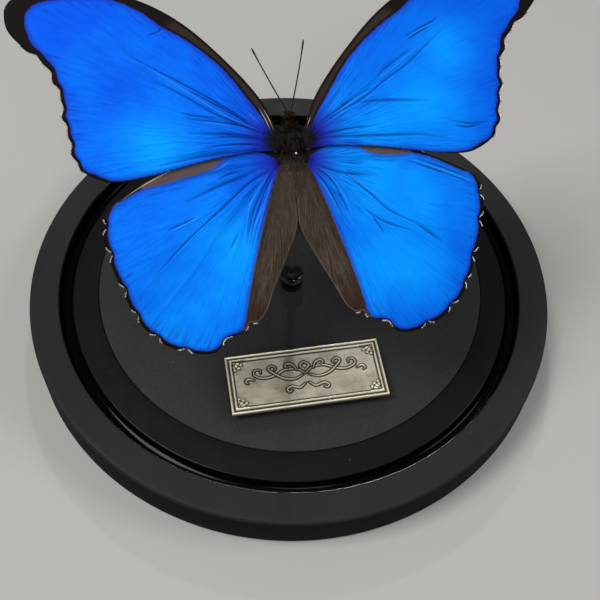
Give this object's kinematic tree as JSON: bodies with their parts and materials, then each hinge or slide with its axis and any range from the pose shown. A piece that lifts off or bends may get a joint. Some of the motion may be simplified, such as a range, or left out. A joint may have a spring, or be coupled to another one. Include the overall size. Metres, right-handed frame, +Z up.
{
  "type": "mounted butterfly on a round display base, without its dome",
  "caption": "Spread blue butterfly held leaning on a clear post over a round black base with a dome slot and a small brass plate.",
  "frame": {"origin": "middle of the base's flat underside", "axes": "+Z up, +Y towards the butterfly's head and away from the plate, +X to the butterfly's right"},
  "size_m": [0.1512, 0.1512, 0.103],
  "materials": {
    "base_lacquer": "satin black, glossier in the slot",
    "disc_matt": "fine matt black",
    "pad_foam": "matt black foam",
    "plaque_brass": "aged, satin, bright on the raised frame",
    "clear_acrylic": "clear, polished",
    "pin_steel": "bright cut end",
    "body_fur": "dark brown hair",
    "eye_horn": "dark, softly shiny",
    "horn": "black-brown, satin",
    "wing_blue": "metallic blue scales, black-brown margins"
  },
  "bodies": {
    "root": {"base": "base_lacquer", "base_disc": "disc_matt", "plaque_pad": "pad_foam", "plaque": "plaque_brass", "post_collar": "clear_acrylic", "post_rod": "clear_acrylic", "pin": "pin_steel", "thorax": "body_fur", "head": "body_fur", "abdomen": "body_fur", "eye_left": "eye_horn", "eye_right": "eye_horn", "palp_left": "body_fur", "palp_right": "body_fur", "proboscis": "horn", "antenna_left": "horn", "antenna_right": "horn", "forewing_left": "wing_blue", "forewing_right": "wing_blue", "hindwing_left": "wing_blue", "hindwing_right": "wing_blue", "leg_left_mid": "horn", "leg_left_hind": "horn", "leg_right_mid": "horn", "leg_right_hind": "horn"}
  },
  "joints": []
}
